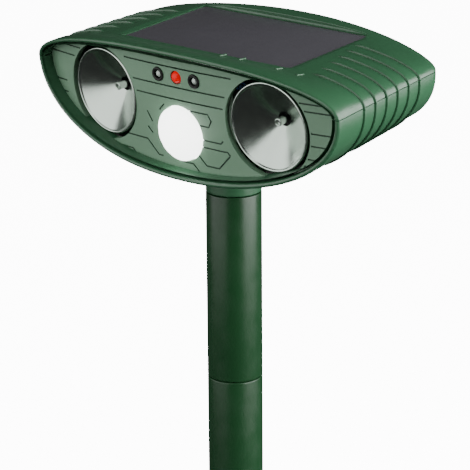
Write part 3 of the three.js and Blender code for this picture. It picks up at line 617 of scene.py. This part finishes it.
def area_light(name, place, target, size, power, color=(1, 1, 1)):
    lamp = bpy.data.objects.new(name, bpy.data.lights.new(name, "AREA"))
    bpy.context.scene.collection.objects.link(lamp)
    lamp.data.shape = "RECTANGLE"
    lamp.data.size, lamp.data.size_y = size
    lamp.data.energy = power
    lamp.data.color = color
    lamp.location = place
    lamp.rotation_euler = (Vector(target) - Vector(place)).to_track_quat("-Z", "Y").to_euler()


def around(azimuth, distance, height):
    """A place round the object, turned from the front towards its right side."""
    turn = math.radians(azimuth)
    return (distance * math.sin(turn), -distance * math.cos(turn), height)


def studio():
    world = bpy.data.worlds.new("studio")
    world.use_nodes = True
    world.node_tree.nodes["Background"].inputs["Color"].default_value = (1, 1, 1, 1)
    world.node_tree.nodes["Background"].inputs["Strength"].default_value = WORLD_LIGHT
    bpy.context.scene.world = world
    floor_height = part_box("ground_spike")[0].z - 0.0005
    mesh = bpy.data.meshes.new("floor")
    reach = 6.0
    mesh.from_pydata([(-reach, -reach, floor_height), (reach, -reach, floor_height),
                      (reach, reach, floor_height), (-reach, reach, floor_height)], [], [(0, 1, 2, 3)])
    floor = bpy.data.objects.new("floor", mesh)
    bpy.context.scene.collection.objects.link(floor)
    finish, _, _, _ = shader("pale_floor", (0.9, 0.9, 0.9), 0.6)
    glowing(finish, (1, 1, 1), FLOOR_GLOW)
    mesh.materials.append(finish)
    floor.visible_diffuse = False
    floor.visible_glossy = False
    area_light("left_soft", around(-24, 0.85, 0.35), (0, 0, 0.17), (1.4, 1.0), LEFT_LIGHT)
    area_light("right_soft", around(112, 0.85, 0.36), (0, 0, 0.17), (1.1, 0.9), RIGHT_LIGHT)
    area_light("high_soft", around(20, 0.9, 1.2), (0, 0, 0.17), (0.6, 0.4), HIGH_LIGHT)


# ------------------------------------------------------------------ head pieces
def face_place(x, z, turn=0.0):
    """A frame in the head's frame whose Z points out of the front panel at a place on it."""
    out = Vector((math.sin(turn) * math.cos(FACE_LEAN), -math.cos(turn) * math.cos(FACE_LEAN),
                  -math.sin(FACE_LEAN)))
    across = Vector((0, 0, 1)).cross(out).normalized()
    up = out.cross(across)
    turn_to = Matrix((across, up, out)).transposed().to_4x4()
    spot = Vector((x, rim_y(x, z) + PANEL_RECESS, z))
    return HEAD @ Matrix.Translation(spot) @ turn_to


def horn_place(side):
    place = face_place(side * HORN_OFFSET, HORN_HEIGHT, side * HORN_TOE)
    return place @ Matrix.Translation((0, 0, -HORN_SINK))


def rod_shape(radius, low, high, place, steps=96):
    """A plain rod, for cutting."""
    return turned([(0, low), (radius, low), (radius, high), (0, high)], place, steps)


def upper_housing():
    """Top shell with the solar panel's bay, its shallow surround and the small ribs on the brow."""
    points, faces = shell_half(True, 181)
    shell = make_piece("upper_housing_shell", points, faces, HOUSING,
                       stands_for=["upper_housing"], slot="housing_plastic")
    low = SOLAR_TOP - SOLAR_THICKNESS - 1.1
    front, back = SOLAR_FRONT - GAP, SOLAR_FRONT + SOLAR_LENGTH + GAP
    side = SOLAR_HALF + GAP
    bay = rounded_rectangle(-side, side, front, back, 0.8)
    floor_block = rounded_rectangle(-side - 3, side + 3, front - 3, back + 3, 1.0)
    make_piece("solar_bay_floor", *slab(floor_block, [(0, low - 1.8), (0, low)], HEAD), HOUSING,
               slot="housing_plastic")
    cut(shell, *slab(bay, [(0, low - 3.5), (0, SOLAR_TOP + 0.5), (-0.5, SOLAR_TOP + 1.3),
                           (-0.5, 40)], HEAD), HOUSING)
    surround = rounded_rectangle(-side - 4.4, side + 4.4, front - 1.2, back + 0.9, 4.5)
    cut(shell, *slab(surround, [(3.4, SOLAR_TOP + 0.2), (0, SOLAR_TOP + 1.3), (0, 40)], HEAD), HOUSING)
    finish_mesh(shell.data, 30)
    for index, (x, y) in enumerate(BROW_RIBS):
        along = BROW_RIB_LENGTH * np.linspace(-0.5, 0.5, 16)
        ridge(f"brow_rib_{index}", x + 0 * along, y + along, (1, 0, 0))
    along = np.linspace(-SOLAR_HALF, SOLAR_HALF, 60)
    ridge("rear_edge_bead", along, back + 1.6 + 0 * along, (0, 1, 0))


def ridge(name, x, y, across):
    """A low rounded ridge on the crown along a line of places, its ends sunk into the skin: an
    ellipse swept along the line and shrunk to a point at both ends."""
    count = len(x)
    around = np.linspace(0, 2 * np.pi, 20, endpoint=False)
    depth = (y - rim_y(x, SEAM_HEIGHT)) / (rear_end(x) - rim_y(x, SEAM_HEIGHT)) * HEAD_DEPTH
    _, seam, top, power, _ = outline_sizes(depth, 0.0)
    half = HEAD_HALF - SIDE_TAPER * depth
    height = seam + top * np.sqrt(1 - (np.abs(x) / half) ** power)
    swell = np.clip(1 - np.linspace(-1, 1, count) ** 6, 0, 1) ** 0.5
    middle = np.stack([x, y, height - 0.1], -1)
    ring = 0.45 * np.cos(around)[:, None] * np.array(across, float)
    ring = ring + 0.5 * np.sin(around)[:, None] * np.array([0.0, 0.0, 1.0])
    points = middle[:, None] + swell[:, None, None] * ring[None]
    faces = grid_faces(count, 20, closed=True)
    make_piece(name, placed(points, HEAD), faces, HOUSING, slot="housing_plastic")


def lower_housing():
    """Bottom shell with the battery door's opening, the screws' counterbores and the control bay."""
    points, faces = shell_half(False, 181)
    shell = make_piece("lower_housing_shell", points, faces, HOUSING,
                       stands_for=["lower_housing"], slot="housing_plastic")
    openings = [door_shape(GAP, DOOR_TOP), bay_shape(0.0)]
    for side in SIDES.values():
        for y in (POST_FRONT, POST_REAR):
            place = HEAD @ Matrix.Translation((side * POST_SIDE, y, 0))
            openings.append(rod_shape(SCREW_HEAD + GAP, -60.0, screw_seat(y), place, 48))
    cut(shell, *joined_shapes(*openings), HOUSING)
    finish_mesh(shell.data, 30)


def screw_seat(y):
    """Height of a housing screw's seat."""
    return SEAM_HEIGHT + SEAM_RISE * (y + RIM_FRONT) + SCREW_GRIP - SCREW_LENGTH


def door_outline(grow):
    """The battery door from below: a plate with a round ear at each end."""
    half = DOOR_LENGTH / 2 + grow
    radius = DOOR_EAR_RADIUS + grow
    plate_end = DOOR_EAR_X - DOOR_EAR_RADIUS / 2 - GAP + grow
    meet = math.degrees(math.acos((plate_end - DOOR_EAR_X) / radius))
    right = arc((DOOR_EAR_X, 0), radius, -meet, meet, 14)
    corner = 1.2
    outline = [arc((plate_end - corner, -half + corner), corner, -90, 0, 5), right,
               arc((plate_end - corner, half - corner), corner, 0, 90, 5)]
    right_side = np.concatenate(outline)
    left_side = right_side * (-1, -1)
    return np.concatenate([right_side, left_side]) + (0, CELL_BACK)


def door_shape(grow, top):
    return slab(door_outline(grow), [(0, -60.0), (0, top)], HEAD)


def bay_shape(inset):
    """The control bay's opening in the rear wall, narrowing a little inwards."""
    outline = rounded_rectangle(-BAY_HALF, BAY_HALF, -BAY_TOP, -BAY_BOTTOM, 2.0)
    return slab(outline, [(inset, BAY_FLOOR), (inset, 44.5), (inset - 0.6, 46.5), (inset - 0.6, 60)],
                HEAD @ UPRIGHT)


def housings():
    upper_housing()
    lower_housing()


def front_panel():
    """A bowed plate inside the rim, with holes and engraved lines."""
    sides = 240
    angle = np.linspace(0, 2 * np.pi, sides, endpoint=False)
    inset = RIM_WALL + PANEL_EDGE_GAP
    edge = head_surface(-RIM_FRONT + PANEL_RECESS, angle, inset)
    seam = SEAM_HEIGHT
    rows = []
    for depth, shares in ((PANEL_RECESS, np.linspace(0, 1, 14)),
                          (PANEL_RECESS + PANEL_THICKNESS, np.linspace(1, 0, 14))):
        for share in shares:
            x, z = edge[:, 0] * share, seam + (edge[:, 2] - seam) * share
            rows.append(np.stack([x, rim_y(x, z) + depth, z], -1))
    panel = make_piece("front_panel_plate", placed(np.array(rows), HEAD),
                       grid_faces(len(rows), sides, closed=True), PANEL,
                       stands_for=["front_panel"], slot="panel_plastic")
    reach = 6.0
    holes = [rod_shape(LENS_RADIUS + GAP, -reach, reach, face_place(0, LENS_HEIGHT)),
             rod_shape(RED_RADIUS + GAP, -reach, reach, face_place(0, LAMP_HEIGHT), 48)]
    for side in SIDES.values():
        holes.append(rod_shape(HORN_RADIUS + HORN_CLEARANCE, -reach, reach, horn_place(side), 120))
        lamp_place = face_place(side * LAMP_PITCH, LAMP_HEIGHT)
        holes.append(rod_shape(BUSH_RADIUS + GAP / 3, -reach, reach, lamp_place, 48))
    cut(panel, *joined_shapes(*holes))
    lines = [engraved_line(corners) for corners in face_lines()]
    # The cut lines' walls take the painted-shade finish, a dark colour in place of the grooves' shade.
    cut(panel, *joined_shapes(*lines), LINE_PAINTED_SHADE)
    finish_mesh(panel.data, 30)


def panel_edge(height):
    """Half-width of the panel at a height on its face."""
    _, seam, top, power, bottom = outline_sizes(PANEL_RECESS, RIM_WALL)
    above = height >= seam
    reach, rise_power = (top, 2.0) if above else (bottom, BELLY_POWER)
    share = 1 - (abs(height - seam) / reach) ** rise_power
    half = HEAD_HALF - SIDE_TAPER * PANEL_RECESS - RIM_WALL
    return half * share ** (1 / (power if above else BELLY_POWER))


def face_lines():
    """Corners of every engraved line, as places on the panel's face."""
    lines = [[(-half, height), (half, height)] for height, half in MIDDLE_LINES]
    for name, rows in SIDE_LINES.items():
        for height, clear in rows:
            ring = HORN_RADIUS + HORN_CLEARANCE + clear
            inner = HORN_OFFSET + math.sqrt(ring**2 - (height - HORN_HEIGHT) ** 2)
            outer = panel_edge(height) - EDGE_MARGIN
            lines.append([(SIDES[name] * inner, height), (SIDES[name] * outer, height)])
    for place, legs in TRACES:
        corners = [np.array(place)]
        for heading, length in legs:
            turn = math.radians(heading)
            corners.append(corners[-1] + length * np.array([math.cos(turn), math.sin(turn)]))
        lines.append(corners)
    return lines


def engraved_line(corners):
    """A closed shape for cutting a line of even width and depth into the panel, along corners given
    as places on its face."""
    line = np.asarray(corners, float)
    ahead = np.diff(line, axis=0)
    ahead /= np.linalg.norm(ahead, axis=1)[:, None]
    joints = np.concatenate([ahead[:1], (ahead[:-1] + ahead[1:]) / 2, ahead[-1:]])
    joints /= (joints**2).sum(1)[:, None]
    side = np.stack([-joints[:, 1], joints[:, 0]], -1) * LINE_WIDTH / 2
    side[[0, -1]] /= np.linalg.norm(side[[0, -1]], axis=1)[:, None] / (LINE_WIDTH / 2)
    left, right = line + side, line - side
    rings = []
    for a, b in zip(left, right):
        for (x, z), depth in ((a, -1.0), (a, LINE_DEPTH), (b, LINE_DEPTH), (b, -1.0)):
            rings.append((x, rim_y(x, z) + PANEL_RECESS + depth, z))
    count = len(line)
    faces = [list(face) for face in grid_faces(count, 4, closed=True)]
    faces += [[0, 1, 2, 3], [4 * count - 1, 4 * count - 2, 4 * count - 3, 4 * count - 4]]
    return placed(np.array(rings), HEAD), faces


def horn(name, side):
    place = horn_place(side)
    mouth = HORN_RADIUS - 1.3
    bell = rounded([(2.9, -10), (9.0, -5.6), (mouth - 0.4, -0.2)], 5.0, 12)
    profile = np.concatenate([
        [(2.9, -11.7)], bell[0:], arc((HORN_RADIUS - 0.7, -0.1), 0.6, 160, 0, 12)[:-1],
        [(HORN_RADIUS - 0.1, -0.6), (17.6, -1.0), (17.1, -5.2), (5.6, -11.7), (2.9, -11.7)],
    ])
    make_piece(f"{name}_horn_bell", *turned(profile, place, 144), BELL,
               stands_for=[f"{name}_horn"], slot="bell_metal", sharp=50)
    tip = arc((1.25, -5.9), 0.35, 200, 0, 8)
    plug = np.concatenate([[(0, -6.3), (0.9, -6.2)], tip, [(1.6, -11.4), (0, -11.4)]])
    make_piece(f"{name}_plug_tip", *turned(plug, place, 48), BELL,
               stands_for=[f"{name}_phase_plug"], slot="bell_metal")


def lens():
    """A shallow dome cut into rings of small facets that each bulge a little."""
    steps, sides = 40, 144
    ball = (LENS_RADIUS**2 + LENS_RISE**2) / (2 * LENS_RISE)
    share = np.linspace(0, 1, steps)[:, None]
    angle = np.linspace(0, 2 * np.pi, sides, endpoint=False)[None]
    polar = math.asin(LENS_RADIUS / ball) * share
    ring = np.minimum(np.floor(share * 4), 3)
    across = (share * 4 - ring) * 2 - 1
    along = ((angle * (3 * ring + 3) / (2 * np.pi)) % 1) * 2 - 1
    bulge = 0.12 * (1 - across**2) * (1 - along**2) * (ring > 0)
    radius = ball + bulge - 0.12
    points = np.stack([radius * np.sin(polar) * np.cos(angle), radius * np.sin(polar) * np.sin(angle),
                       LENS_PROUD + LENS_RISE - ball + radius * np.cos(polar) + 0 * angle], -1)
    skirt = np.array([[r * np.cos(angle[0]), r * np.sin(angle[0]), h + 0 * angle[0]]
                      for r, h in ((LENS_RADIUS, -2.7), (12.9, -2.85), (12.9, -3.8), (0, -3.8))])
    rows = np.concatenate([points, skirt.transpose(0, 2, 1)])
    make_piece("motion_lens_dome", placed(rows, face_place(0, LENS_HEIGHT)),
               grid_faces(len(rows), sides, closed=True), LENS,
               stands_for=["motion_lens"], slot="lens_plastic")


def lamps():
    dome = lambda r, proud: np.concatenate([arc((0, proud - r), r, 90, 0, 14), [(r, -8.5), (0, -8.5)]])
    make_piece("red_lamp_dome", *turned(dome(2.5, 1.2), face_place(0, LAMP_HEIGHT), 64), LAMP_RED,
               stands_for=["indicator_lamp"], slot="red_lamp")
    for name, side in SIDES.items():
        place = face_place(side * LAMP_PITCH, LAMP_HEIGHT)
        make_piece(f"{name}_clear_lamp", *turned(dome(1.5, 0.4), place, 48), LAMP_CLEAR,
                   stands_for=[f"{name}_flash_lamp"], slot="clear_lamp")
        ring = rounded([(1.7, -3.7), (1.7, 0.7), (BUSH_RADIUS, 0.7), (BUSH_RADIUS, -2.8),
                        (3.8, -2.8), (3.8, -3.7), (1.7, -3.7)], 0.5)
        make_piece(f"{name}_lamp_ring", *turned(ring, place, 64), BLACK,
                   stands_for=[f"{name}_lamp_bush"], slot="black_plastic")


def solar_panel():
    place = HEAD
    low = SOLAR_TOP - SOLAR_THICKNESS
    points, faces = soft_block((-SOLAR_HALF, SOLAR_HALF), (SOLAR_FRONT, SOLAR_FRONT + SOLAR_LENGTH),
                               (low, SOLAR_TOP), 0.3, place, corner=0.8)
    make_piece("solar_panel_cells", points, faces, SOLAR, stands_for=["solar_panel"], slot="solar_glass")


# ------------------------------------------------------------------ rear and underside pieces

def rear_place(x, z, y=BAY_FLOOR):
    """A frame on the bay's floor whose Z points out of it, backwards."""
    return HEAD @ Matrix.Translation((x, y, z)) @ UPRIGHT


def fluted(profile, place, flutes, depth, steps=144):
    """A turned shape whose radius ripples: r (1 - d (1 + cos n a) / 2), on its outermost rings."""
    profile = np.asarray(profile, float)
    angle = np.linspace(0, 2 * np.pi, steps, endpoint=False)
    radius = profile[:, :1] + 0 * angle
    outermost = profile[:, :1] > profile[:, 0].max() * 0.97
    radius = radius - outermost * depth * (1 + np.cos(flutes * angle)) / 2
    points = np.stack([radius * np.cos(angle), radius * np.sin(angle), profile[:, 1:] + 0 * angle], -1)
    return placed(points, place), grid_faces(len(profile), steps, closed=True)


def rear_controls():
    """Bay liner with slots, fluted knobs, slide switch button and rubber socket cover."""
    lap = 0.6
    plate = rounded_rectangle(-BAY_HALF - lap, BAY_HALF + lap, -BAY_TOP - lap, -BAY_BOTTOM + lap, 2.0)
    liner = make_piece("control_bay_liner", *slab(plate, [(0, -BAY_WALL), (0, 0)], rear_place(0, 0)),
                       HOUSING, slot="housing_plastic")
    slots = [slab(rounded_rectangle(-3.75, 3.75, -SWITCH_HEIGHT - 1.5, -SWITCH_HEIGHT + 1.5, 0.3),
                  [(0, -5), (0, 5)], rear_place(0, 0)),
             slab(rounded_rectangle(-4.8, 4.8, -USB_HEIGHT - 1.9, -USB_HEIGHT + 1.9, 0.4),
                  [(0, -5), (0, 5)], rear_place(0, 0))]
    for side in SIDES.values():
        slots.append(rod_shape(3.3, -5, 5, rear_place(side * KNOB_PITCH, KNOB_HEIGHT), 48))
    cut(liner, *joined_shapes(*slots), HOUSING)
    finish_mesh(liner.data, 30)
    for name, side in (("sensitivity_knob", -1), ("mode_knob", 1)):
        place = rear_place(side * KNOB_PITCH, KNOB_HEIGHT)
        skirt = [(0, -2.4), (3.0, -2.4), (3.0, 0.3), (5.3, 0.3), (5.4, 0.4), (5.4, 3.5), (5.3, 3.8),
                 (4.9, 4.15), (4.4, 4.2), (0, 4.2)]
        make_piece(name + "_dial", *fluted(skirt, place, 30, 0.3), BLACK, body=name,
                   stands_for=[name], slot="black_plastic")
        grip = rounded_rectangle(-1, 1, -4.8, 4.8, 0.9)
        make_piece(name + "_grip", *slab(grip, [(0, 4.0), (0, 5.2), (0.12, 5.5), (0.4, 5.6)], place), BLACK,
                   body=name, slot="black_plastic")
        pointer = rounded_rectangle(-0.3, 0.3, -4.4, -1.5, 0.25)
        make_piece(name + "_pointer", *slab(pointer, [(0, 5.55), (0, 5.6), (0.1, 5.63)], place), LAMP_CLEAR,
                   body=name, slot="clear_lamp")
    slider()
    socket_cover()


def slider():
    """Switch button at the left of its slot, with four thumb ribs."""
    x = (-3.45, 0.45)
    z = (SWITCH_HEIGHT - 1.2, SWITCH_HEIGHT + 1.2)
    turned_z = (-z[1], -z[0])
    make_piece("power_slider_button", *soft_block(x, turned_z, (-3.0, 1.6), 0.25, rear_place(0, 0)), BLACK,
               body="power_slider", stands_for=["power_slider"], slot="black_plastic")
    for index, offset in enumerate((-1.2, -0.4, 0.4, 1.2)):
        rib = (-1.5 + offset - 0.2, -1.5 + offset + 0.2)
        shape = soft_block(rib, turned_z, (1.4, 2.3), 0.12, rear_place(0, 0))
        make_piece(f"power_slider_rib_{index}", *shape, BLACK, body="power_slider", slot="black_plastic")


def socket_cover():
    """Rubber flap with a raised rim and a finger lip."""
    z = (-USB_HEIGHT - 3.4, -USB_HEIGHT + 3.6)
    place = rear_place(0, 0)
    make_piece("usb_cover_flap", *soft_block((-6.4, 6.4), z, (0.3, 1.5), 0.3, place, corner=1.2), RUBBER,
               body="usb_cover", stands_for=["usb_cover"], slot="rubber")
    panel = (z[0] + 1.6, z[1] - 0.9)
    pad = soft_block((-5.4, 5.4), panel, (1.3, 1.7), 0.15, place, corner=0.8)
    make_piece("usb_cover_pad", *pad, RUBBER, body="usb_cover", slot="rubber")
    make_piece("usb_cover_lip", *soft_block((-2, 2), (z[0], z[0] + 1.2), (1.3, 2.7), 0.35, place), RUBBER,
               body="usb_cover", slot="rubber")


def screw(name, place, length):
    """Pan head with a cross recess, over a threaded shank."""
    turns = int(length / 0.8)
    thread = []
    for index in range(turns):
        low = 0.4 + index * 0.8
        thread += [(1.0, low), (1.3, low + 0.3), (1.3, low + 0.4), (1.0, low + 0.7)]
    profile = [(0, -1.8), (1.7, -1.8), (2.2, -1.7), (2.5, -1.4), (2.6, -1.0), (2.6, -0.3), (1.3, -0.3)]
    profile += thread + [(1.0, length - 1.2), (0, length)]
    piece = make_piece(name + "_thread", *turned(profile, place, 48), PLATED, stands_for=[name],
                       slot="plated_steel")
    arm = rounded_rectangle(-1.6, 1.6, -0.35, 0.35, 0.1)
    for turn in (0, 90):
        turned_place = place @ Matrix.Rotation(math.radians(turn), 4, "Z")
        cut(piece, *slab(arm, [(0, -4), (0, -0.9)], turned_place), PLATED)
    finish_mesh(piece.data, 40)


def battery_door():
    """A patch of the head's floor with round ears, cut from the same form as the shell, with a
    counterbore for a screw in each ear."""
    columns, rows_each = 120, 40
    angle = np.linspace(np.pi * 1.12, np.pi * 1.88, columns)
    stations = np.linspace(11.5, 32.0, rows_each)
    outer = np.array([head_surface(station, angle, 0.0) for station in stations[::-1]])
    inner = np.array([head_surface(station, angle, 3.4) for station in stations])
    faces = [list(face) for face in grid_faces(2 * rows_each, columns)]
    last = (2 * rows_each - 1) * columns
    faces += [[k, k + 1, last + k + 1, last + k] for k in range(columns - 1)]
    for column in (0, columns - 1):
        faces += [[i * columns + column, (i + 1) * columns + column,
                   last - (i + 1) * columns + column, last - i * columns + column]
                  for i in range(rows_each - 1)]
    door = make_piece("battery_door_skin", placed(np.concatenate([outer, inner]), HEAD), faces, HOUSING,
                      stands_for=["battery_door"], slot="housing_plastic")
    cut(door, *door_shape(0.0, 0.0), operation="INTERSECT")
    bores = []
    for side in SIDES.values():
        place = HEAD @ Matrix.Translation((side * DOOR_EAR_X, CELL_BACK, 0))
        bores.append(turned([(0, -60), (2.9, -60), (2.9, DOOR_SCREW_SEAT), (1.6, DOOR_SCREW_SEAT),
                             (1.6, 0), (0, 0)], place, 48))
    cut(door, *joined_shapes(*bores), HOUSING)
    finish_mesh(door.data, 30)


def undersides():
    """Battery door and the screws under the head."""
    battery_door()
    for side_name, side in SIDES.items():
        for end_name, y in (("front", POST_FRONT), ("rear", POST_REAR)):
            place = HEAD @ Matrix.Translation((side * POST_SIDE, y, screw_seat(y)))
            screw(f"{side_name}_{end_name}_housing_screw", place, SCREW_LENGTH)
        place = HEAD @ Matrix.Translation((side * DOOR_EAR_X, CELL_BACK, DOOR_SCREW_SEAT))
        screw(f"{side_name}_door_screw", place, DOOR_SCREW_LENGTH)


INNER_FINISHES = {
    POLE: ["ground_spike"],
    RUBBER: ["front_seal", "solar_pad"],
    BLACK: ["left_piezo_driver", "right_piezo_driver", "lens_retainer", "controller_chip",
            "storage_capacitor", "battery_holder", "mode_potentiometer", "sensitivity_potentiometer"],
    PLATED: ["motion_sensor", "positive_contact", "negative_contact", "power_switch", "usb_socket"],
    COPPER: ["left_drive_coil", "right_drive_coil"],
    BOARD: ["sensor_board", "main_board", "control_board"],
    WRAP: ["battery_cell"],
}


def inner_finishes():
    """Finishes for the pieces that are shown as they were packed."""
    for finish, names in INNER_FINISHES.items():
        for name in names:
            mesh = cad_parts[name].data
            mesh.materials.clear()
            mesh.materials.append(finish)


# ------------------------------------------------------------------ stake pieces
def stake():
    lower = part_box("lower_tube")
    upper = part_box("upper_tube")
    joint = [lower[0].z / MM, upper[0].z / MM, HEAD_HEIGHT - SOCKET_DROP - GAP]
    for name, low, high, top in (("lower_tube", joint[0], joint[1] - GAP, lower[1].z / MM),
                                 ("upper_tube", joint[1], joint[2], upper[1].z / MM)):
        profile = rounded([(7.45, low + 20), (9.5, low + 18), (9.5, low), (POLE_RADIUS, low),
                           (POLE_RADIUS, high), (9.25, high), (9.25, top), (7.45, top),
                           (7.45, low + 20)], 0.5)
        make_piece(name + "_skin", *turned(profile, MODEL, 128), POLE, body="stake",
                   stands_for=[name], slot="stake_plastic")
    upright = Matrix.Translation((0, 0, HEAD_HEIGHT * MM)) @ MODEL
    socket = rounded([(9.55, -SOCKET_DROP), (POLE_RADIUS, -SOCKET_DROP), (POLE_RADIUS, -12), (9.55, -12),
                      (9.55, -SOCKET_DROP)], 0.5)
    make_piece("pole_socket", *turned(socket, upright, 128), HOUSING, slot="housing_plastic")


camera()
studio()
housings()
front_panel()
for horn_name, horn_side in SIDES.items():
    horn(horn_name, horn_side)
lens()
lamps()
solar_panel()
rear_controls()
undersides()
stake()
inner_finishes()
